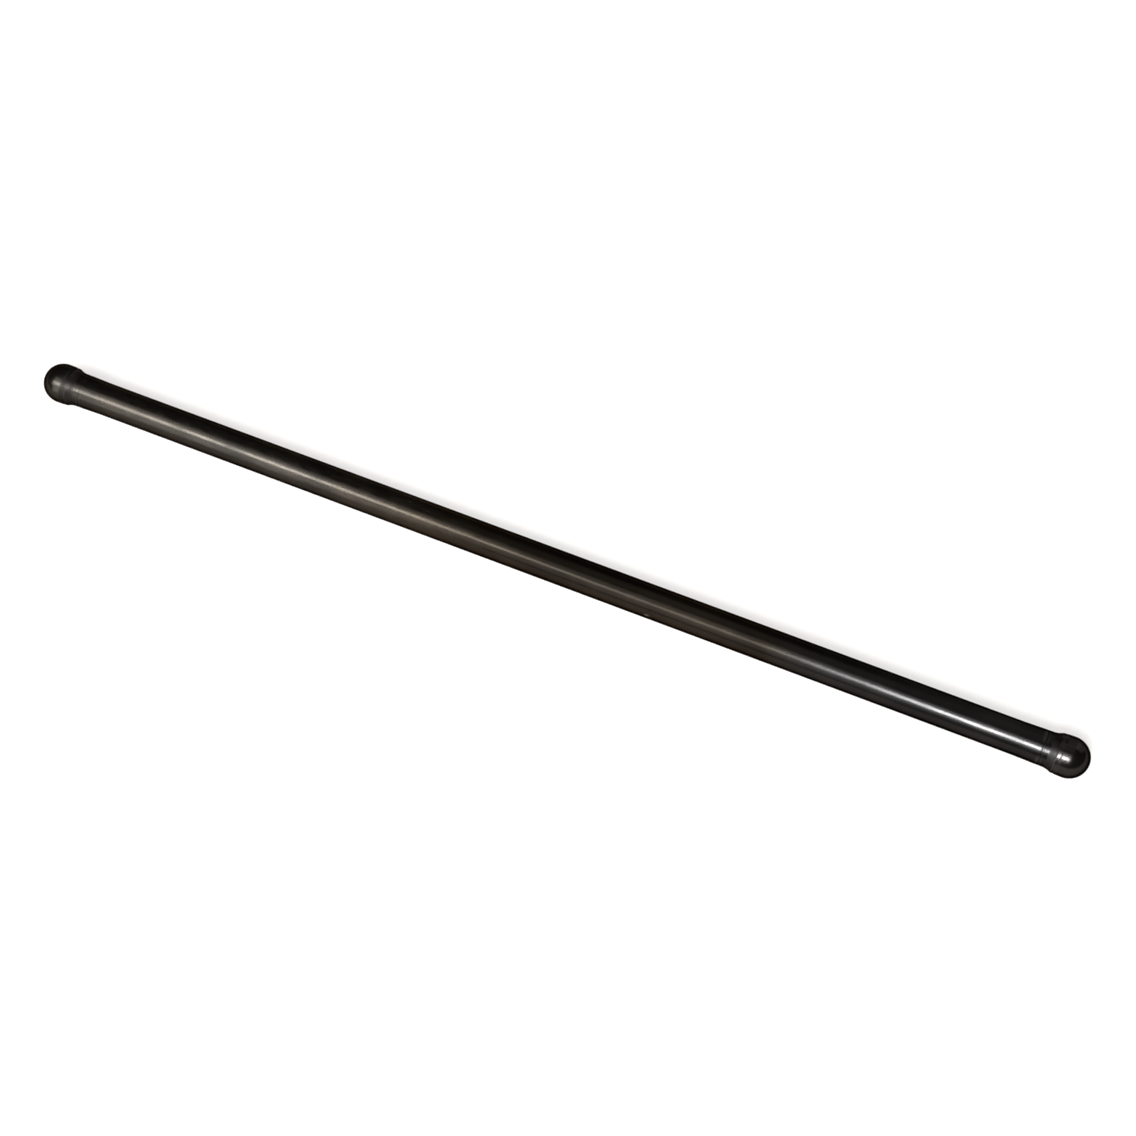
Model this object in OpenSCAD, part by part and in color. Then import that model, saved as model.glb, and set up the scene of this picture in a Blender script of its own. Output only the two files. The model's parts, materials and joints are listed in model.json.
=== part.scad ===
// Engine pushrod: one steel bar with an upset, ground ball on each end.
// All sizes are in millimetres. The rod lies along X, with its middle at the origin.
// The part is turned from one outline, drawn as radius (x) against distance along the rod (y).

/* [Rod] */
// Length over both balls
overall_length = 260; // [140:0.5:420]
// Diameter of the plain shank
shank_d = 7.94; // [6.5:0.01:8.3]

/* [Ball end] */
// Diameter of the ground ball
ball_d = 9.53; // [9.1:0.01:12]
// Length of the ground band between the ball's equator and its step
band_length = 1.9; // [0.8:0.05:2.4]
// Radius of the band's crowned outline
band_crown_r = 30; // [6:0.5:40]
// Height of the small step behind the band
step_depth = 0.03; // [0.02:0.01:0.12]
// Half angle of the shoulder behind the step
shoulder_taper = 3; // [0:0.5:8]
// Distance from the ball's centre to the bottom of the neck
head_length = 4.85; // [4.4:0.05:7]
// Radius of the hollow neck behind the shoulder
neck_r = 4.4; // [3:0.1:7]

/* [Collar] */
// Height of the collar above the shank
collar_rise = 0.13; // [0.06:0.01:0.25]
// Length of the collar from the bottom of the neck to its line
collar_length = 1.05; // [0.6:0.05:3]
// Height of the shank's root above the shank, just behind the collar's line
root_rise = 0.12; // [0.02:0.01:0.13]
// Length over which the root runs out to the plain shank
root_length = 5.6; // [1:0.1:8]

/* [Turned lines] */
// Width of the fine line behind the ball's band
ball_line_w = 0.35; // [0.24:0.01:0.6]
// Width of the fine line behind the collar
collar_line_w = 0.75; // [0.24:0.01:0.8]
// Depth of both lines
line_depth = 0.02; // [0.02:0.01:0.12]

/* [Hidden] */
$fn = 128;

ball_r = ball_d / 2;
shank_r = shank_d / 2;
collar_r = shank_r + collar_rise;
root_r = shank_r + root_rise;
ball_span = overall_length - ball_d;
collar_end = head_length + collar_length;
root_end = collar_end + root_length;

// Radius of the band and of the shoulder where they meet at the step, and of the shoulder's far end
band_x = ball_r - band_crown_r;
band_end_r = band_x + sqrt(band_crown_r ^ 2 - band_length ^ 2);
shoulder_r = band_end_r - step_depth;
shoulder_end_r = shoulder_r - (head_length - band_length) * tan(shoulder_taper);

// The neck's arc dips this far below the collar, which leaves a faint turned edge where they meet
neck_dip = 0.01;

// Radius of the round tool that leaves a line of the given width
function line_r(width) = (width ^ 2 / 4 + line_depth ^ 2) / (2 * line_depth);

// Front half of the ball, up to its equator
module ball_outline() {
    intersection() {
        circle(r = ball_r);
        translate([0, -ball_d]) square([ball_d, ball_d]);
    }
}

// Ground band that carries the ball on, slightly crowned
module band_outline() {
    intersection() {
        translate([band_x, 0]) circle(r = band_crown_r);
        square([ball_d, band_length]);
    }
}

// Tapered shoulder that runs down into the hollow neck
module shoulder_outline() {
    difference() {
        polygon([
            [0, band_length],
            [shoulder_r, band_length],
            [shoulder_end_r, head_length],
            [0, head_length]
        ]);
        translate([collar_r + neck_r - neck_dip, head_length]) circle(r = neck_r);
    }
}

// Straight collar, then the root that runs out to the shank
module collar_outline() {
    translate([0, band_length]) square([collar_r, collar_end - band_length]);
    polygon([[0, collar_end], [root_r, collar_end], [shank_r, root_end], [0, root_end]]);
}

// One fine line of the given width, cut into a surface of the given radius
module line_cut(radius, along, width) {
    translate([radius + line_r(width) - line_depth, along]) circle(r = line_r(width));
}

// One whole end, with the ball's centre at the origin and the rod towards +y
module end_outline() {
    difference() {
        union() {
            ball_outline();
            band_outline();
            shoulder_outline();
            collar_outline();
        }
        line_cut(shoulder_r, band_length, ball_line_w);
        line_cut(root_r, collar_end, collar_line_w);
    }
}

// Outline of the whole rod
module rod_outline() {
    translate([0, root_end - ball_span / 2]) square([shank_r, ball_span - 2 * root_end]);
    for (end = [0, 1]) {
        mirror([0, end]) translate([0, -ball_span / 2]) end_outline();
    }
}

// The rod, turned about its outline's axis and laid along X
module pushrod() {
    color("#2a2724") rotate([0, 90, 0]) rotate_extrude() rod_outline();
}

pushrod();
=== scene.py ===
"""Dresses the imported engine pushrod: a dark, oiled steel rod with a ground ball on each end.

The rod lies along X with its middle at the origin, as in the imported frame, and rests with its balls on
the floor. Lengths are in metres and angles in degrees unless their description says otherwise.
"""

import json
import logging
import math
from dataclasses import dataclass, field
from enum import Enum

import bmesh
import bpy
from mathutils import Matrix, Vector


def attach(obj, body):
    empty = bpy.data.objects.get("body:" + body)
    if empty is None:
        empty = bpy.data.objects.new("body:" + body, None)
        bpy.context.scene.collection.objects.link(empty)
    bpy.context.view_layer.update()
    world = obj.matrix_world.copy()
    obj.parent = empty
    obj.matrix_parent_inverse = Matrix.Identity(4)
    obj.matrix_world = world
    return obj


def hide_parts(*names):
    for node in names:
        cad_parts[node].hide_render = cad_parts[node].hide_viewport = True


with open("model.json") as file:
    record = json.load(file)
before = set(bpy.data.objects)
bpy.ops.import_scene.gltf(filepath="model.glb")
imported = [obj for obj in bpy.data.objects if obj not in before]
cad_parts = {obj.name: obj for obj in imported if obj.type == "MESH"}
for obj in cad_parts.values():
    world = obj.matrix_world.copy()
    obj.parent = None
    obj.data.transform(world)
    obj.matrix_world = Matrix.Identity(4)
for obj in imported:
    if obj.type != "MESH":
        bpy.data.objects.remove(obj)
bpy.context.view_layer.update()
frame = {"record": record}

MM = 0.001
WEAR_LAYER = "edge_wear"
# Vertex layer of dirt and painted shade, which darken the fine lines, their sides, and the left end's band
# and shoulder.
DIRT_AND_SHADE_LAYER = "line_dirt_and_shade"

Color = tuple[float, float, float]
WHITE: Color = (1.0, 1.0, 1.0)

log = logging.getLogger("pushrod")


class Zone(Enum):
    """Stretches of the rod that were finished in different ways, by material slot."""

    BALL = 0
    SHOULDER = 1
    NECK = 2
    SHANK = 3


class LampTint(Enum):
    """Colors of the lamps' light, from plain white to the bluest."""

    PLAIN = WHITE
    FAINT_BLUE = (0.95, 0.97, 1.0)
    PALE_BLUE = (0.92, 0.97, 1.0)
    LIGHT_BLUE = (0.88, 0.95, 1.0)
    SKY_BLUE = (0.84, 0.93, 1.0)


class NodeSheet:
    """Adds and links shader nodes on one node tree."""

    def __init__(self, tree: bpy.types.NodeTree) -> None:
        """Takes the shader tree of a material, a world or a node group, and empties it."""
        self.tree = tree
        self.tree.nodes.clear()

    def add(self, kind: str, inputs: dict | None = None, **settings: object) -> bpy.types.Node:
        """Adds one node.

        Args:
            kind: The node's type, without its ShaderNode prefix.
            inputs: Sockets by name or number, each with a constant or another node's output socket.
            settings: The node's own properties.

        Returns:
            The new node.
        """
        node = self.tree.nodes.new(kind if kind.startswith("Node") else f"ShaderNode{kind}")
        for name, value in settings.items():
            setattr(node, name, value)
        for key, value in (inputs or {}).items():
            if isinstance(value, bpy.types.NodeSocket):
                self.tree.links.new(value, node.inputs[key])
            else:
                node.inputs[key].default_value = value
        return node

    def math(self, operation: str, *values: object) -> bpy.types.NodeSocket:
        """Adds a Math node on up to three numbers or output sockets, and gives its output socket."""
        return self.add("Math", dict(enumerate(values)), operation=operation).outputs[0]

    def remap(self, value: bpy.types.NodeSocket, low: float, high: float,
              to_low: float = 0.0, to_high: float = 1.0) -> bpy.types.NodeSocket:
        """Maps a value from one range to another, smoothly and within the new range.

        Args:
            value: The output socket to map.
            low: The value that becomes to_low.
            high: The value that becomes to_high.
            to_low: The new range's start.
            to_high: The new range's end.

        Returns:
            The mapped value's output socket.
        """
        node = self.add("MapRange", {0: value, 1: low, 2: high, 3: to_low, 4: to_high},
                        interpolation_type="SMOOTHSTEP")
        return node.outputs[0]

    def mix(self, share: object, first: object, second: object,
            blend: str = "MIX") -> bpy.types.NodeSocket:
        """Mixes two colors.

        Args:
            share: The second color's share, a number or an output socket.
            first: A color or an output socket.
            second: A color or an output socket.
            blend: How the second color acts on the first.

        Returns:
            The mixed color's output socket.
        """
        colors = [(*color, 1.0) if isinstance(color, tuple) else color for color in (first, second)]
        node = self.add("Mix", {0: share, 6: colors[0], 7: colors[1]}, data_type="RGBA",
                        blend_type=blend)
        return node.outputs[2]


@dataclass(frozen=True)
class Noise:
    """One kind of noise, and the range of its values that is used.

    Attributes:
        detail: How many finer layers it has.
        roughness: How strong the finer layers are.
        low: The value that becomes 0.
        high: The value that becomes 1.
        distortion: How far it is swirled.
    """

    detail: float
    roughness: float
    low: float
    high: float
    distortion: float = 0.0

    def add(self, sheet: NodeSheet, place: bpy.types.NodeSocket,
            scale: object = 1.0) -> bpy.types.NodeSocket:
        """Adds the noise to a sheet.

        Args:
            sheet: The sheet of a node group.
            place: The position socket that the noise reads.
            scale: How fine it is, a number or an output socket.

        Returns:
            The output socket of the plain noise.
        """
        node = sheet.add("TexNoise", {
            "Vector": place, "Scale": scale, "Detail": self.detail,
            "Roughness": self.roughness, "Distortion": self.distortion})
        return node.outputs[0]

    def spread(self, sheet: NodeSheet, value: bpy.types.NodeSocket) -> bpy.types.NodeSocket:
        """Spreads the range of the plain noise that is used over 0 to 1."""
        return sheet.remap(value, self.low, self.high)


class Effects:
    """The shader node groups that the steel finishes share, each built once.

    Attributes:
        grain_noise: Noise of the tool grain.
        patch_noise: Noise of the oxide's patches.
        smear_noise: Noise of the oil's smears.
        noise_middle: The value about which a noise varies.
        cloud_shift: Shift of the patches and smears along the rod.
        smear_stretch: Scale of the smears on each axis, below 1 where they are drawn out.
        nick_stretch: Scale of the nicks on each axis, in the same way.
        nick_rim: Share of a nick's radius that its sloping rim takes up.
        clean_and_shade_rise: Stretch of the rod over which the steel turns smoother and less smeared
            towards +X, and its color turns darker and cooler as painted shade.
        brown_rise: Stretch over which it turns browner, towards the middle of the rod.
        brown_fall: Stretch over which it turns plain again.
        drift: How far the patches shift those stretches along the rod.
    """

    grain_noise = Noise(detail=3.0, roughness=0.6, low=0.3, high=0.7)
    patch_noise = Noise(detail=5.0, roughness=0.62, low=0.36, high=0.66)
    smear_noise = Noise(detail=2.0, roughness=0.45, low=0.35, high=0.68, distortion=0.6)
    noise_middle = 0.5
    cloud_shift = (-12.0 * MM, 0.0, 0.0)
    smear_stretch = (0.4, 1.0, 1.0)
    nick_stretch = (0.45, 1.0, 1.0)
    nick_rim = 0.6
    clean_and_shade_rise = (-55.0 * MM, 15.0 * MM)
    brown_rise = (-65.0 * MM, 0.0)
    brown_fall = (52.0 * MM, 70.0 * MM)
    drift = 24.0 * MM

    def __init__(self) -> None:
        """Builds every group."""
        self.grain = self._grain()
        self.oxide = self._oxide()
        self.nicks = self._nicks()

    @staticmethod
    def _group(name: str, numbers: dict[str, float], outputs: list[str],
               ) -> tuple[NodeSheet, dict[str, bpy.types.NodeSocket], bpy.types.Node]:
        """Makes an empty group that takes a position and some numbers.

        Args:
            name: The group's name.
            numbers: Its number inputs with their defaults.
            outputs: The names of its number outputs.

        Returns:
            The group's sheet, its input sockets by name, and its output node.
        """
        tree = bpy.data.node_groups.new(name, "ShaderNodeTree")
        sheet = NodeSheet(tree)
        tree.interface.new_socket("Position", in_out="INPUT", socket_type="NodeSocketVector")
        for label, value in numbers.items():
            socket = tree.interface.new_socket(label, in_out="INPUT", socket_type="NodeSocketFloat")
            socket.default_value = value
        for label in outputs:
            tree.interface.new_socket(label, in_out="OUTPUT", socket_type="NodeSocketFloat")
        taken = sheet.add("NodeGroupInput")
        given = sheet.add("NodeGroupOutput")
        return sheet, {socket.name: socket for socket in taken.outputs if socket.name}, given

    def _grain(self) -> bpy.types.NodeTree:
        """Builds fine lines that run along the rod or around it, by the two scales.

        Returns:
            The group.
        """
        sheet, taken, given = self._group(
            "tool_grain", {"Along": 1.0, "Across": 1.0}, ["Height"])
        scale = sheet.add("CombineXYZ", {0: taken["Along"], 1: taken["Across"], 2: taken["Across"]})
        place = sheet.add("VectorMath", {0: taken["Position"], 1: scale.outputs[0]}, operation="MULTIPLY")
        lines = self.grain_noise.add(sheet, place.outputs[0])
        sheet.tree.links.new(self.grain_noise.spread(sheet, lines), given.inputs["Height"])
        return sheet.tree

    def _oxide(self) -> bpy.types.NodeTree:
        """Builds patches of oxide, smears of oil, the cleaner end of the rod with its painted shade, and
        its browner middle.

        Returns:
            The group.
        """
        sheet, taken, given = self._group(
            "oxide_cloud", {"Patches": 60.0, "Smears": 450.0}, ["Patch", "Smear", "CleanAndShade", "Brown"])
        place = sheet.add("VectorMath", {0: taken["Position"], 1: self.cloud_shift}, operation="ADD")
        long_place = sheet.add("VectorMath", {0: place.outputs[0], 1: self.smear_stretch},
                               operation="MULTIPLY")
        patch = self.patch_noise.add(sheet, place.outputs[0], taken["Patches"])
        smear = self.smear_noise.add(sheet, long_place.outputs[0], taken["Smears"])
        sheet.tree.links.new(self.patch_noise.spread(sheet, patch), given.inputs["Patch"])
        sheet.tree.links.new(self.smear_noise.spread(sheet, smear), given.inputs["Smear"])

        along = sheet.add("SeparateXYZ", {0: taken["Position"]}).outputs[0]
        cloud = sheet.math("SUBTRACT", patch, self.noise_middle)
        edge = sheet.math("MULTIPLY_ADD", cloud, self.drift, along)
        sheet.tree.links.new(sheet.remap(edge, *self.clean_and_shade_rise), given.inputs["CleanAndShade"])
        rise = sheet.remap(edge, *self.brown_rise)
        fall = sheet.remap(edge, *self.brown_fall, 1.0, 0.0)
        sheet.tree.links.new(sheet.math("MULTIPLY", rise, fall), given.inputs["Brown"])
        return sheet.tree

    def _nicks(self) -> bpy.types.NodeTree:
        """Builds small scattered nicks, drawn out along the rod.

        Returns:
            The group.
        """
        sheet, taken, given = self._group(
            "handling_nicks", {"Cells": 330.0, "Size": 0.16, "Share": 0.0}, ["Mask"])
        place = sheet.add("VectorMath", {0: taken["Position"], 1: self.nick_stretch}, operation="MULTIPLY")
        cells = sheet.add("TexVoronoi", {"Vector": place.outputs[0], "Scale": taken["Cells"]})
        near = sheet.math("SUBTRACT", 1.0, sheet.math("DIVIDE", cells.outputs["Distance"], taken["Size"]))
        chance = sheet.add("SeparateColor", {0: cells.outputs["Color"]})
        chosen = sheet.math("LESS_THAN", chance.outputs[0], taken["Share"])
        spot = sheet.remap(near, 0.0, self.nick_rim)
        sheet.tree.links.new(sheet.math("MULTIPLY", spot, chosen), given.inputs["Mask"])
        return sheet.tree


@dataclass(frozen=True)
class SteelFinish:
    """One way in which the dark steel was finished.

    Attributes:
        name: The material's name.
        body: Color of the oxide.
        patch: Color of its paler patches.
        clean_and_shade_tint: What the color is multiplied by at the cleaner end of the rod, a painted
            shade that makes that end darker and cooler.
        polish: How much smoother the steel itself is at the cleaner end.
        wiped: Share of the smears and streaks that the cleaner end has lost.
        roughness: Roughness of the duller end, before smears and streaks.
        smear: Roughness that the oil film's smears add.
        streak: Roughness that the rubbed streaks along the rod add.
        grain_along: How fine the tool grain is along the rod, per metre.
        grain_across: How fine it is across the rod, per metre.
        grain_depth: Depth of the tool grain.
        wave_depth: Depth of the slow waves that grinding left.
        nick_share: Share of the places for nicks that have one.
        brown_tint: What the color is multiplied by in the browner middle of the rod.
        bare: Color of the steel where a nick or a worn edge bares it.
        soot_and_shade: Color of the dirt and the painted shade in and beside the fine lines.
        edge_tint: Tint of the steel's reflections at grazing angles.
        wear: Share of bare steel that a worn edge shows at most.
        dirt_and_shade: Share of the color that the thickest dirt and painted shade hide.
        dirt_and_shade_roughness: Roughness that the dirt and painted shade would add if they hid the color
            fully.
        wave_along: How fine the slow waves are along the rod, per metre.
        wave_across: How fine they are across the rod, per metre.
        streak_along: How fine the rubbed streaks are along the rod, per metre.
        streak_across: How fine they are across the rod, per metre.
        nick_depth: Depth of the nicks.
    """

    name: str
    body: Color
    patch: Color
    clean_and_shade_tint: Color
    polish: float
    wiped: float
    roughness: float
    smear: float
    streak: float
    grain_along: float
    grain_across: float
    grain_depth: float
    wave_depth: float = 0.0
    nick_share: float = 0.0
    brown_tint: Color = (1.12, 0.965, 0.77)
    bare: Color = (0.11, 0.105, 0.098)
    soot_and_shade: Color = (0.012, 0.010, 0.009)
    edge_tint: Color = (0.32, 0.32, 0.32)
    wear: float = 0.35
    dirt_and_shade: float = 0.65
    dirt_and_shade_roughness: float = 0.3
    wave_along: float = 320.0
    wave_across: float = 240.0
    streak_along: float = 280.0
    streak_across: float = 1300.0
    nick_depth: float = 0.003 * MM

    def material(self, effects: Effects) -> bpy.types.Material:
        """Builds the finish.

        Args:
            effects: The shared node groups.

        Returns:
            The material.
        """
        made = bpy.data.materials.new(self.name)
        made.use_nodes = True
        sheet = NodeSheet(made.node_tree)
        place = sheet.add("TexCoord").outputs["Object"]
        grain = self._effect(sheet, effects.grain, place,
                             {"Along": self.grain_along, "Across": self.grain_across})
        waves = self._effect(sheet, effects.grain, place,
                             {"Along": self.wave_along, "Across": self.wave_across})
        streaks = self._effect(sheet, effects.grain, place,
                               {"Along": self.streak_along, "Across": self.streak_across})
        oxide = self._effect(sheet, effects.oxide, place, {})
        nicks = self._effect(sheet, effects.nicks, place, {"Share": self.nick_share})
        worn = sheet.add("Attribute", attribute_name=WEAR_LAYER).outputs["Fac"]
        dirt_and_shade = sheet.add("Attribute", attribute_name=DIRT_AND_SHADE_LAYER).outputs["Fac"]

        rubbed = sheet.math("MULTIPLY", sheet.math("MULTIPLY", worn, oxide["Smear"]), self.wear)
        bright = sheet.math("MAXIMUM", nicks["Mask"], rubbed)
        color = sheet.mix(oxide["Patch"], self.body, self.patch)
        # Painted shade: the color turns darker and cooler towards +X.
        color = sheet.mix(oxide["CleanAndShade"], color, self.clean_and_shade_tint, blend="MULTIPLY")
        color = sheet.mix(oxide["Brown"], color, self.brown_tint, blend="MULTIPLY")
        color = sheet.mix(bright, color, self.bare)
        # Dirt and painted shade: the color darkens towards soot in and beside the fine lines, and over the
        # left end's band and shoulder.
        color = sheet.mix(sheet.math("MULTIPLY", dirt_and_shade, self.dirt_and_shade), color, self.soot_and_shade)

        ground = sheet.math("MULTIPLY_ADD", oxide["CleanAndShade"], -self.polish, self.roughness)
        rubbing = sheet.math("MULTIPLY", streaks["Height"], self.streak)
        film = sheet.math("MULTIPLY_ADD", oxide["Smear"], self.smear, rubbing)
        kept = sheet.math("MULTIPLY_ADD", oxide["CleanAndShade"], -self.wiped, 1.0)
        oiled = sheet.math("MULTIPLY_ADD", film, kept, ground)
        roughness = sheet.math("MULTIPLY_ADD", dirt_and_shade, self.dirt_and_shade * self.dirt_and_shade_roughness, oiled)

        dents = sheet.math("MULTIPLY", nicks["Mask"], -self.nick_depth)
        ripple = sheet.math("MULTIPLY_ADD", waves["Height"], self.wave_depth, dents)
        height = sheet.math("MULTIPLY_ADD", grain["Height"], self.grain_depth, ripple)
        bump = sheet.add("Bump", {"Height": height, "Strength": 1.0, "Distance": 1.0})

        shader = sheet.add("BsdfPrincipled", {
            "Base Color": color, "Roughness": roughness, "Metallic": 1.0,
            "Normal": bump.outputs[0], "Specular Tint": (*self.edge_tint, 1.0)})
        sheet.add("OutputMaterial", {"Surface": shader.outputs[0]})
        return made

    @staticmethod
    def _effect(sheet: NodeSheet, group: bpy.types.NodeTree, place: bpy.types.NodeSocket,
                numbers: dict[str, float]) -> dict[str, bpy.types.NodeSocket]:
        """Places one shared effect in the material.

        Args:
            sheet: The material's sheet.
            group: The effect's node group.
            place: The position socket that the effect reads.
            numbers: The values that differ from the group's defaults.

        Returns:
            The effect's output sockets by name.
        """
        node = sheet.tree.nodes.new("ShaderNodeGroup")
        node.node_tree = group
        sheet.tree.links.new(place, node.inputs["Position"])
        for label, value in numbers.items():
            node.inputs[label].default_value = value
        return {socket.name: socket for socket in node.outputs}


class OutlinePen:
    """Draws a turned part's outline in the XZ plane: distance along the rod, and radius."""

    def __init__(self, mesh: bmesh.types.BMesh, along: float, radius: float) -> None:
        """Sets the pen down in a mesh, at a place along the rod and a radius."""
        self.mesh = mesh
        self.tip = mesh.verts.new((along, 0.0, radius))

    def line(self, along: float, radius: float, steps: int) -> None:
        """Draws a straight stretch.

        Args:
            along: Where it ends along the rod.
            radius: The radius where it ends.
            steps: How many edges it has.
        """
        start = self.tip.co.copy()
        end = Vector((along, 0.0, radius))
        for step in range(1, steps + 1):
            self.tip = bmesh.ops.extrude_vert_indiv(self.mesh, verts=[self.tip])["verts"][0]
            self.tip.co = start.lerp(end, step / steps)

    def arc(self, along: float, radius: float, angle: float, steps: int) -> None:
        """Draws an arc about a middle point.

        Args:
            along: The middle point's place along the rod.
            radius: The middle point's radius.
            angle: The swept angle in radians, above 0 for a crown and below 0 for a hollow.
            steps: How many edges it has.
        """
        swept = bmesh.ops.spin(self.mesh, geom=[self.tip], cent=(along, 0.0, radius), axis=(0.0, 1.0, 0.0),
                               angle=angle, steps=steps, use_duplicate=False)
        self.tip = next(item for item in swept["geom_last"] if isinstance(item, bmesh.types.BMVert))

    def hollow(self, along: float, radius: float, depth: float, steps: int) -> None:
        """Draws a shallow, round-bottomed line to a point on its other side.

        Args:
            along: Where the line's far edge is along the rod.
            radius: The radius of its far edge.
            depth: How deep it is below the chord between its edges, less than half of that chord.
            steps: How many edges it has.
        """
        start = self.tip.co.copy()
        chord = Vector((along, 0.0, radius)) - start
        bend = (chord.length_squared / 4 + depth ** 2) / (2 * depth)
        outward = Vector((-chord.z, 0.0, chord.x)).normalized()
        middle = start + chord / 2 + outward * (bend - depth)
        sweep = 2 * math.asin(chord.length / (2 * bend))
        self.arc(middle.x, middle.z, -sweep, steps)


@dataclass
class BallEnd:
    """Sizes of one ball end. Places along it are measured from the ball's centre towards the rod.

    Attributes:
        ball_radius: Radius of the ground ball.
        shank_radius: Radius of the plain shank.
        band_length: Length of the ground band between the ball's equator and its step.
        band_crown: Radius of the band's crowned outline.
        step: Height of the small step behind the band.
        taper: Half angle of the shoulder behind the step, in radians.
        head_length: Distance from the ball's centre to the middle point of the neck's arc.
        neck_radius: Radius of that hollow arc.
        neck_dip: How far below the collar's surface the arc would reach.
        collar_rise: Height of the collar above the shank.
        collar_length: Length from the arc's middle point to the fine line behind the collar.
        root_rise: Height of the shank's root above the shank, just behind that line.
        root_length: Length over which the root runs out to the plain shank.
        ball_line_width: Width of the fine line behind the band.
        collar_line_width: Width of the fine line behind the collar.
        line_depth: Depth of both lines.
        ball_line_dirt_and_shade: Share of dirt and painted shade at the ball's line.
        collar_line_dirt_and_shade: Share of dirt and painted shade at the collar's line.
        band_dirt_and_shade_reach: How far the dirt and painted shade at the ball's line spread over the
            band.
        shoulder_dirt_and_shade_reach: How far they spread over the shoulder.
        collar_dirt_and_shade_reach: How far the dirt and painted shade at the collar's line spread to
            either side.
        dirt_and_shade_fade: Outer share of their reach over which they fade away.
        ball_steps: Edges of the ball's outline.
        band_steps: Edges of the band's outline.
        line_steps: Edges of each fine line's outline.
        shoulder_steps: Edges of the shoulder's outline.
        neck_steps: Edges of the neck's outline.
        collar_steps: Edges of the collar's outline.
        root_steps: Edges of the root's outline.
    """

    ball_radius: float
    shank_radius: float
    band_length: float = 1.9 * MM
    band_crown: float = 30.0 * MM
    step: float = 0.03 * MM
    taper: float = math.radians(3.0)
    head_length: float = 4.85 * MM
    neck_radius: float = 4.4 * MM
    neck_dip: float = 0.01 * MM
    collar_rise: float = 0.13 * MM
    collar_length: float = 1.05 * MM
    root_rise: float = 0.12 * MM
    root_length: float = 5.6 * MM
    ball_line_width: float = 0.35 * MM
    collar_line_width: float = 0.75 * MM
    line_depth: float = 0.02 * MM
    ball_line_dirt_and_shade: float = 0.15
    collar_line_dirt_and_shade: float = 0.14
    band_dirt_and_shade_reach: float = 0.30 * MM
    shoulder_dirt_and_shade_reach: float = 0.30 * MM
    collar_dirt_and_shade_reach: float = 0.22 * MM
    dirt_and_shade_fade: float = 0.5
    ball_steps: int = 40
    band_steps: int = 8
    line_steps: int = 8
    shoulder_steps: int = 6
    neck_steps: int = 14
    collar_steps: int = 6
    root_steps: int = 8

    @property
    def collar_radius(self) -> float:
        """Radius of the collar behind the neck."""
        return self.shank_radius + self.collar_rise

    @property
    def shoulder_radius(self) -> float:
        """Radius of the shoulder just behind the step."""
        fall = self.band_crown - math.sqrt(self.band_crown ** 2 - self.band_length ** 2)
        return self.ball_radius - fall - self.step

    @property
    def shoulder_end_radius(self) -> float:
        """Radius to which the shoulder's taper would fall at the middle point of the neck's arc."""
        return self.shoulder_radius - (self.head_length - self.band_length) * math.tan(self.taper)

    @property
    def neck_middle(self) -> float:
        """Radius at which the neck's arc has its middle point."""
        return self.collar_radius - self.neck_dip + self.neck_radius

    @property
    def neck_sweep(self) -> float:
        """Angle of the neck's arc from its lowest point up to the shoulder's edge, in radians."""
        lift = (self.neck_middle - self.shoulder_end_radius) / self.neck_radius
        return self.taper + math.acos(lift * math.cos(self.taper))

    @property
    def collar_sweep(self) -> float:
        """Angle of the neck's arc that the collar cuts off, in radians."""
        return math.acos(1 - self.neck_dip / self.neck_radius)

    @property
    def collar_start(self) -> float:
        """Place of the faint edge between the neck and the collar."""
        return self.head_length - self.neck_radius * math.sin(self.collar_sweep)

    @property
    def neck_start(self) -> float:
        """Place of the edge between the shoulder and the neck."""
        return self.head_length - self.neck_radius * math.sin(self.neck_sweep)

    @property
    def collar_end(self) -> float:
        """Place of the fine line behind the collar."""
        return self.head_length + self.collar_length

    @property
    def root_end(self) -> float:
        """Place where the plain shank starts."""
        return self.collar_end + self.root_length

    @property
    def lines(self) -> list[tuple[float, float]]:
        """Places of the two fine lines, each with its width."""
        return [(self.band_length, self.ball_line_width), (self.collar_end, self.collar_line_width)]

    @property
    def edges(self) -> list[float]:
        """Places of the crisp turned edges."""
        rims = [place + side * width / 2 for place, width in self.lines for side in (-1, 1)]
        return [self.neck_start, *rims]

    def dirt_and_shade(self, along: float) -> float:
        """Tells how much dirt and painted shade lie at a place, in the fine lines and beside them.

        Args:
            along: The place, from the ball's centre towards the rod.

        Returns:
            The share of dirt and painted shade, from 0 to 1.
        """
        reach = self.band_dirt_and_shade_reach if along < self.band_length else self.shoulder_dirt_and_shade_reach
        from_ball_line = abs(along - self.band_length) / reach
        from_collar_line = abs(along - self.collar_end) / self.collar_dirt_and_shade_reach
        shares = ((from_ball_line, self.ball_line_dirt_and_shade), (from_collar_line, self.collar_line_dirt_and_shade))
        return max(share * min(1.0, max(0.0, 1.0 - away) / self.dirt_and_shade_fade) for away, share in shares)

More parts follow.
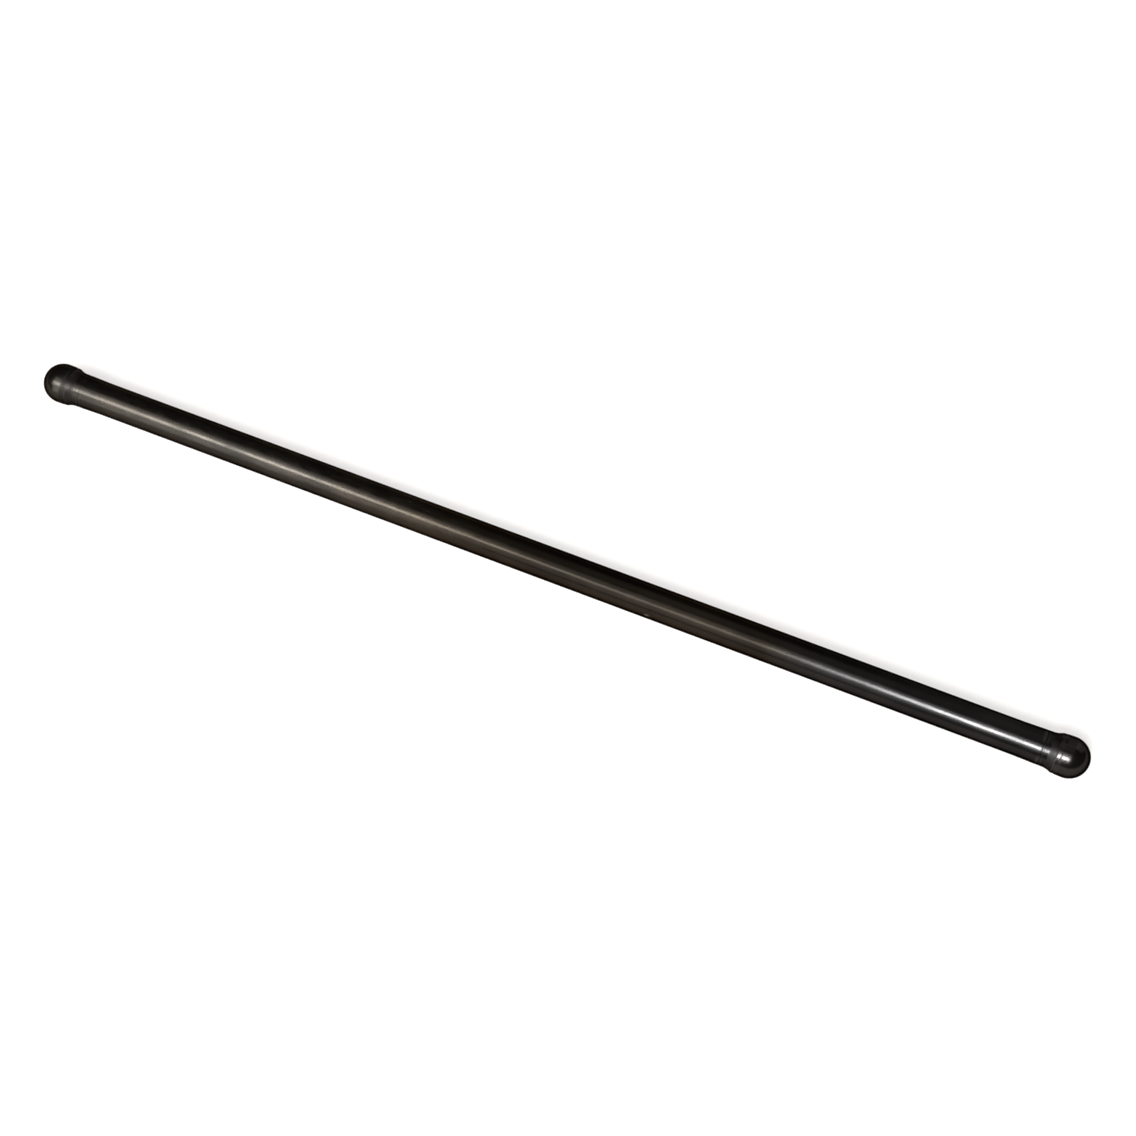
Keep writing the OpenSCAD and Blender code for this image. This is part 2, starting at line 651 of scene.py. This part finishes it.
    def draw(self, mesh: bmesh.types.BMesh, centre: float) -> OutlinePen:
        """Draws the end's outline from the ball's tip to the plain shank.

        Args:
            mesh: The mesh to draw in.
            centre: The ball's centre along X, with the rod towards +X.

        Returns:
            The pen, at the start of the plain shank.
        """
        pen = OutlinePen(mesh, centre - self.ball_radius, 0.0)
        pen.arc(centre, 0.0, math.pi / 2, self.ball_steps)
        ball_line_half = self.ball_line_width / 2
        band_sweep = math.asin((self.band_length - ball_line_half) / self.band_crown)
        pen.arc(centre, self.ball_radius - self.band_crown, band_sweep, self.band_steps)
        behind_step = self.shoulder_radius - ball_line_half * math.tan(self.taper)
        shoulder_start = centre + self.band_length + ball_line_half
        pen.hollow(shoulder_start, behind_step, self.line_depth, self.line_steps)
        neck_edge = self.neck_middle - self.neck_radius * math.cos(self.neck_sweep)
        pen.line(centre + self.neck_start, neck_edge, self.shoulder_steps)
        neck_turn = self.collar_sweep - self.neck_sweep
        pen.arc(centre + self.head_length, self.neck_middle, neck_turn, self.neck_steps)
        collar_line_half = self.collar_line_width / 2
        pen.line(centre + self.collar_end - collar_line_half, self.collar_radius, self.collar_steps)
        root_radius = self.shank_radius + self.root_rise
        root_start = centre + self.collar_end + collar_line_half
        pen.hollow(root_start, root_radius, self.line_depth, self.line_steps)
        pen.line(centre + self.root_end, self.shank_radius, self.root_steps)
        return pen

    def zone(self, along: float) -> Zone:
        """Names the zone at a place, measured from the ball's centre towards the rod."""
        ends = {Zone.BALL: self.band_length, Zone.SHOULDER: self.neck_start, Zone.NECK: self.collar_start}
        return next((zone for zone, end in ends.items() if along < end), Zone.SHANK)


@dataclass
class Pushrod:
    """The rod: a plain shank between two like ball ends.

    Attributes:
        half_span: Distance from the rod's middle to each ball's centre.
        ball_radius: Radius of the balls.
        shank_radius: Radius of the plain shank.
        turn_steps: Facets around the rod.
        shank_steps: Rings along half of the shank.
        edge_round: How far the round on each crisp edge reaches to either side.
        edge_segments: Facets across that round.
        edge_find: How near to a crisp edge's place a ring of the mesh has to be to count as that edge.
        seam_merge: Distance within which vertices are merged once the outline is spun.
        middle_merge: Distance within which they are merged where the two halves of the rod meet.
        wear_reach: Distance from an edge over which its wear fades away.
        name: The finished piece's name.
        left_end: The ball end towards -X, which has more dirt and painted shade.
        right_end: The ball end towards +X.
    """

    half_span: float
    ball_radius: float
    shank_radius: float = 3.97 * MM
    turn_steps: int = 160
    shank_steps: int = 40
    edge_round: float = 0.025 * MM
    edge_segments: int = 2
    edge_find: float = 0.0005 * MM
    seam_merge: float = 0.0001 * MM
    middle_merge: float = 0.001 * MM
    wear_reach: float = 0.14 * MM
    name: str = "pushrod_steel"
    left_end: BallEnd = field(init=False)
    right_end: BallEnd = field(init=False)

    def __post_init__(self) -> None:
        """Sizes the ball ends, which differ only in how much dirt and painted shade they have."""
        # Painted shade: the left end's band and shoulder are darkened far beyond the right end's.
        self.left_end = BallEnd(self.ball_radius, self.shank_radius,
                                ball_line_dirt_and_shade=0.95, collar_line_dirt_and_shade=0.15,
                                band_dirt_and_shade_reach=0.80 * MM, shoulder_dirt_and_shade_reach=1.05 * MM)
        self.right_end = BallEnd(self.ball_radius, self.shank_radius)

    @classmethod
    def from_record(cls, record: dict) -> "Pushrod":
        """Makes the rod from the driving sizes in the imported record."""
        ball = next(mount for mount in record["mounts"] if mount["name"] == "rocker_ball")
        return cls(half_span=ball["pos_m"][0], ball_radius=ball["dims"]["r_mm"] * MM)

    def build(self) -> bpy.types.Object:
        """Turns the rod's mesh.

        Returns:
            The rod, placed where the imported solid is.
        """
        mesh = bmesh.new()
        pen = self.left_end.draw(mesh, -self.half_span)
        pen.line(0.0, self.shank_radius, self.shank_steps)
        bmesh.ops.spin(mesh, geom=[*mesh.verts, *mesh.edges], cent=(0.0, 0.0, 0.0), axis=(1.0, 0.0, 0.0),
                       angle=2 * math.pi, steps=self.turn_steps, use_merge=True, use_duplicate=False)
        bmesh.ops.remove_doubles(mesh, verts=mesh.verts, dist=self.seam_merge)
        self._round_edges(mesh)
        bmesh.ops.mirror(mesh, geom=[*mesh.verts, *mesh.edges, *mesh.faces], axis="X",
                         merge_dist=self.middle_merge)
        bmesh.ops.recalc_face_normals(mesh, faces=mesh.faces)
        self._mark(mesh)
        data = bpy.data.meshes.new(self.name)
        mesh.to_mesh(data)
        mesh.free()
        piece = bpy.data.objects.new(self.name, data)
        bpy.context.scene.collection.objects.link(piece)
        return piece

    def dress(self, piece: bpy.types.Object, effects: Effects) -> None:
        """Gives each zone of the rod's object its finish, built from the shared node groups."""
        for zone in Zone:
            piece.data.materials.append(FINISHES[zone].material(effects))

    def _along(self, x: float) -> float:
        """Gives a place's distance from the nearer ball's centre, towards the rod."""
        return self.half_span - abs(x)

    def _round_edges(self, mesh: bmesh.types.BMesh) -> None:
        """Rounds the crisp turned edges a little.

        Args:
            mesh: The half rod.
        """
        places = self.left_end.edges
        crisp = [edge for edge in mesh.edges
                 if any(all(abs(self._along(vert.co.x) - place) < self.edge_find for vert in edge.verts)
                        for place in places)]
        bmesh.ops.bevel(mesh, geom=crisp, offset=self.edge_round, offset_type="OFFSET", affect="EDGES",
                        segments=self.edge_segments, profile=0.5, material=-1, clamp_overlap=True)

    def _mark(self, mesh: bmesh.types.BMesh) -> None:
        """Marks each face's zone, the worn edges, and the dirt and painted shade.

        Args:
            mesh: The whole rod.
        """
        wear = mesh.verts.layers.float.new(WEAR_LAYER)
        dirt_and_shade = mesh.verts.layers.float.new(DIRT_AND_SHADE_LAYER)
        for vert in mesh.verts:
            along = self._along(vert.co.x)
            end = self.left_end if vert.co.x < 0.0 else self.right_end
            edge_gap = min(abs(along - place) for place in end.edges)
            vert[wear] = max(0.0, 1.0 - edge_gap / self.wear_reach)
            vert[dirt_and_shade] = end.dirt_and_shade(along)
        for face in mesh.faces:
            face.smooth = True
            along = self._along(face.calc_center_median().x)
            face.material_index = self.left_end.zone(along).value


@dataclass(frozen=True)
class Softbox:
    """A rectangular studio lamp, hung parallel to the rod and aimed at it.

    Attributes:
        name: The lamp's name.
        along: Its middle along X.
        above: Its angle above the floor, seen along the rod from the camera's side.
        length: Its size along X.
        width: Its other size.
        glow: How bright its face is, as watts per square metre divided by pi.
        tint: The color of its light.
        reach: Its distance from the rod's axis.
        skirt: How bright its soft outer part is, as a share of its glow.
        skirt_width: The outer part's width.
    """

    name: str
    along: float
    above: float
    length: float
    width: float
    glow: float
    tint: LampTint = LampTint.PLAIN
    reach: float = 0.60
    skirt: float = 0.0
    skirt_width: float = 0.0

    def hang(self) -> None:
        """Adds the lamp to the scene, with its soft outer part if it has one."""
        self._add_panel(self.name, self.width, self.glow)
        if self.skirt:
            self._add_panel(f"{self.name}_skirt", self.skirt_width, self.glow * self.skirt)

    def _add_panel(self, name: str, width: float, glow: float) -> None:
        """Adds one glowing panel, as long as the lamp.

        Args:
            name: The panel's name.
            width: Its size across.
            glow: How bright it is.
        """
        angle = math.radians(self.above)
        lamp = bpy.data.lights.new(name, "AREA")
        lamp.shape = "RECTANGLE"
        lamp.size = self.length
        lamp.size_y = width
        lamp.energy = math.pi * glow * self.length * width
        lamp.color = self.tint.value
        holder = bpy.data.objects.new(name, lamp)
        holder.location = (self.along, -self.reach * math.cos(angle), self.reach * math.sin(angle))
        holder.rotation_euler = (math.pi / 2 - angle, 0.0, 0.0)
        holder.visible_camera = False
        bpy.context.scene.collection.objects.link(holder)


@dataclass
class Studio:
    """The pale floor, the lamps and the dim room around them.

    Attributes:
        floor_height: Height of the floor.
        floor_side: Side of the square floor.
        floor_color: Color of the floor.
        near_lift: Light that the floor adds near the rod where it is seen, directly or in the steel.
        far_lift: The same far from the rod, past the lamps' light.
        near_reach: Distance from the middle up to which the floor has its near lift.
        far_reach: Distance from the middle from which it has its far lift.
        room_front: Brightness of the room on the camera's side.
        room_back: Brightness of the room behind the rod.
        skyline_start: Height up to which the room is white past the floor, as the sine of its angle.
        skyline_end: Height at which that white has faded, as the sine of its angle.
    """

    floor_height: float
    floor_side: float = 12.0
    floor_color: Color = (0.335, 0.300, 0.274)
    near_lift: float = 0.62
    far_lift: float = 1.0
    near_reach: float = 0.10
    far_reach: float = 0.50
    room_front: float = 0.30
    room_back: float = 0.10
    skyline_start: float = 0.02
    skyline_end: float = 0.12

    def build(self) -> None:
        """Lays the floor, hangs the lamps and sets the room."""
        self._lay_floor()
        for lamp in SOFTBOXES:
            lamp.hang()
        self._light_room()
        bpy.context.scene.view_settings.view_transform = "Standard"

    def _light_room(self) -> None:
        """Sets the dim room around the lamps: darker behind the rod, white where it meets the floor."""
        world = bpy.data.worlds.new("dim_room")
        world.use_nodes = True
        sheet = NodeSheet(world.node_tree)
        way = sheet.add("SeparateXYZ", {0: sheet.add("TexCoord").outputs["Generated"]})
        level = sheet.add("MapRange", {0: way.outputs[1], 1: -1.0, 2: 1.0,
                                       3: self.room_front, 4: self.room_back})
        skyline = sheet.remap(way.outputs[2], self.skyline_start, self.skyline_end, 1.0, 0.0)
        pale = sheet.math("MULTIPLY", self._seen(sheet), skyline)
        strength = sheet.math("MAXIMUM", level.outputs[0], pale)
        glow = sheet.add("Background", {"Color": (*WHITE, 1.0), "Strength": strength})
        sheet.add("OutputWorld", {"Surface": glow.outputs[0]})
        bpy.context.scene.world = world

    @staticmethod
    def _seen(sheet: NodeSheet) -> bpy.types.NodeSocket:
        """Tells rays that see the surroundings from rays that only light them.

        Args:
            sheet: The sheet of the floor's material or of the world.

        Returns:
            An output socket that is 1 for a camera, glossy or transmission ray and 0 for any other.
        """
        path = sheet.add("LightPath").outputs
        direct = sheet.math("MAXIMUM", path["Is Camera Ray"], path["Is Glossy Ray"])
        return sheet.math("MAXIMUM", direct, path["Is Transmission Ray"])

    def _lay_floor(self) -> None:
        """Lays the floor, which stays out of the object."""
        mesh = bmesh.new()
        bmesh.ops.create_grid(mesh, x_segments=1, y_segments=1, size=self.floor_side / 2)
        bmesh.ops.translate(mesh, verts=mesh.verts, vec=(0.0, 0.0, self.floor_height))
        data = bpy.data.meshes.new("floor")
        mesh.to_mesh(data)
        mesh.free()
        floor = bpy.data.objects.new("floor", data)
        bpy.context.scene.collection.objects.link(floor)
        data.materials.append(self._floor_material())

    def _floor_material(self) -> bpy.types.Material:
        """Builds the floor's finish, matt and pale.

        Returns:
            The material.
        """
        made = bpy.data.materials.new("pale_floor")
        made.use_nodes = True
        sheet = NodeSheet(made.node_tree)
        away = sheet.add("VectorMath", {0: sheet.add("TexCoord").outputs["Object"]}, operation="LENGTH")
        level = sheet.remap(away.outputs["Value"], self.near_reach, self.far_reach,
                            self.near_lift, self.far_lift)
        lift = sheet.math("MULTIPLY", self._seen(sheet), level)
        matt = sheet.add("BsdfDiffuse", {"Color": (*self.floor_color, 1.0)})
        glow = sheet.add("Emission", {"Color": (*WHITE, 1.0), "Strength": lift})
        both = sheet.add("AddShader", {0: matt.outputs[0], 1: glow.outputs[0]})
        sheet.add("OutputMaterial", {"Surface": both.outputs[0]})
        return made


@dataclass(frozen=True)
class PhotoCamera:
    """The camera at the photograph's viewing angle.

    Attributes:
        azimuth: Turn about Z, with 0 looking along +Y.
        elevation: Angle above the floor.
        distance: Distance to the point that it looks at.
        target: The point that it looks at.
        lens: Focal length in millimetres, on the sensor's width.
        sensor: Width of the sensor in millimetres.
        nearest: Distance from which it sees things.
    """

    azimuth: float = 22.593
    elevation: float = 63.229
    distance: float = 0.47266
    target: tuple[float, float, float] = (5.86 * MM, 0.67 * MM, 0.0)
    lens: float = 65.19
    sensor: float = 36.0
    nearest: float = 0.01

    def place(self) -> None:
        """Adds the camera and makes it the scene's own."""
        turn = math.radians(self.azimuth)
        rise = math.radians(self.elevation)
        back = Vector((math.sin(turn) * math.cos(rise), -math.cos(turn) * math.cos(rise), math.sin(rise)))
        data = bpy.data.cameras.new("photo_camera")
        data.lens = self.lens
        data.sensor_width = self.sensor
        data.clip_start = self.nearest
        camera = bpy.data.objects.new("photo_camera", data)
        camera.location = Vector(self.target) + back * self.distance
        camera.rotation_euler = (math.pi / 2 - rise, 0.0, turn)
        bpy.context.scene.collection.objects.link(camera)
        bpy.context.scene.camera = camera


FINISHES: dict[Zone, SteelFinish] = {
    Zone.BALL: SteelFinish(
        name="ground_ball_steel", body=(0.031, 0.0268, 0.0226), patch=(0.042, 0.0366, 0.0308),
        clean_and_shade_tint=(0.80, 0.82, 0.90), polish=0.015, wiped=0.7,
        roughness=0.20, smear=0.08, streak=0.02,
        grain_along=5000.0, grain_across=150.0, grain_depth=0.0005 * MM),
    Zone.SHOULDER: SteelFinish(
        name="turned_shoulder_steel", body=(0.028, 0.0240, 0.0210), patch=(0.039, 0.033, 0.029),
        clean_and_shade_tint=(0.92, 0.94, 0.98), polish=0.005, wiped=0.7,
        roughness=0.21, smear=0.08, streak=0.02,
        grain_along=4000.0, grain_across=200.0, grain_depth=0.0007 * MM),
    Zone.NECK: SteelFinish(
        name="forged_neck_steel", body=(0.022, 0.0180, 0.0162), patch=(0.044, 0.035, 0.031),
        clean_and_shade_tint=(0.87, 0.95, 1.02), polish=0.005, wiped=0.2,
        roughness=0.32, smear=0.12, streak=0.04,
        grain_along=2600.0, grain_across=900.0, grain_depth=0.0030 * MM),
    Zone.SHANK: SteelFinish(
        name="ground_shank_steel", body=(0.026, 0.0224, 0.0190), patch=(0.0365, 0.0309, 0.0254),
        clean_and_shade_tint=(0.655, 0.70, 0.80), polish=0.005, wiped=0.65,
        roughness=0.18, smear=0.09, streak=0.10,
        grain_along=1600.0, grain_across=160.0, grain_depth=0.0005 * MM,
        wave_depth=0.003 * MM, nick_share=0.05),
}

SOFTBOXES: list[Softbox] = [
    Softbox("right_softbox", along=0.126, above=51.5, length=0.062, width=0.17, glow=127.0,
            tint=LampTint.LIGHT_BLUE, skirt=0.065, skirt_width=0.50),
    Softbox("left_softbox", along=-0.40, above=50.0, length=0.37, width=0.18, glow=15.5,
            tint=LampTint.PALE_BLUE, skirt=0.16, skirt_width=0.38),
    Softbox("left_glint", along=-0.27, above=51.0, length=0.085, width=0.14, glow=20.0,
            tint=LampTint.PALE_BLUE),
    Softbox("left_strip", along=-0.155, above=50.0, length=0.12, width=0.09, glow=14.6,
            tint=LampTint.SKY_BLUE, skirt=0.10, skirt_width=0.24),
    Softbox("middle_strip", along=-0.025, above=50.0, length=0.14, width=0.11, glow=5.7,
            tint=LampTint.SKY_BLUE, skirt=0.10, skirt_width=0.24),
    Softbox("middle_low", along=-0.04, above=26.0, length=0.30, width=0.30, glow=1.4,
            tint=LampTint.PALE_BLUE),
    Softbox("overhead_softbox", along=-0.12, above=72.0, length=0.76, width=0.22, glow=1.1,
            tint=LampTint.FAINT_BLUE),
    Softbox("left_overhead", along=-0.40, above=74.0, length=0.36, width=0.26, glow=1.3,
            tint=LampTint.FAINT_BLUE),
    Softbox("low_softbox", along=-0.42, above=17.0, length=0.33, width=0.44, glow=4.2,
            tint=LampTint.PALE_BLUE, reach=0.80),
    Softbox("low_glint", along=-0.24, above=25.0, length=0.10, width=0.03, glow=5.0,
            tint=LampTint.PALE_BLUE),
    Softbox("top_softbox", along=0.08, above=110.0, length=0.42, width=0.40, glow=0.36),
    Softbox("back_softbox", along=0.30, above=150.0, length=0.40, width=0.80, glow=0.45, reach=0.80),
    Softbox("rear_softbox", along=0.75, above=150.0, length=0.75, width=0.90, glow=0.6, reach=0.90),
]


def main() -> None:
    """Builds the rod, its finishes, the studio and the camera."""
    logging.basicConfig(level=logging.INFO, format="%(name)s: %(message)s")
    rod = Pushrod.from_record(frame["record"])
    piece = rod.build()
    rod.dress(piece, Effects())
    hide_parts("pushrod")
    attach(piece, "root")
    log.info("%s: %d faces", piece.name, len(piece.data.polygons))
    Studio(floor_height=-rod.ball_radius).build()
    PhotoCamera().place()


if __name__ == "__main__":
    main()
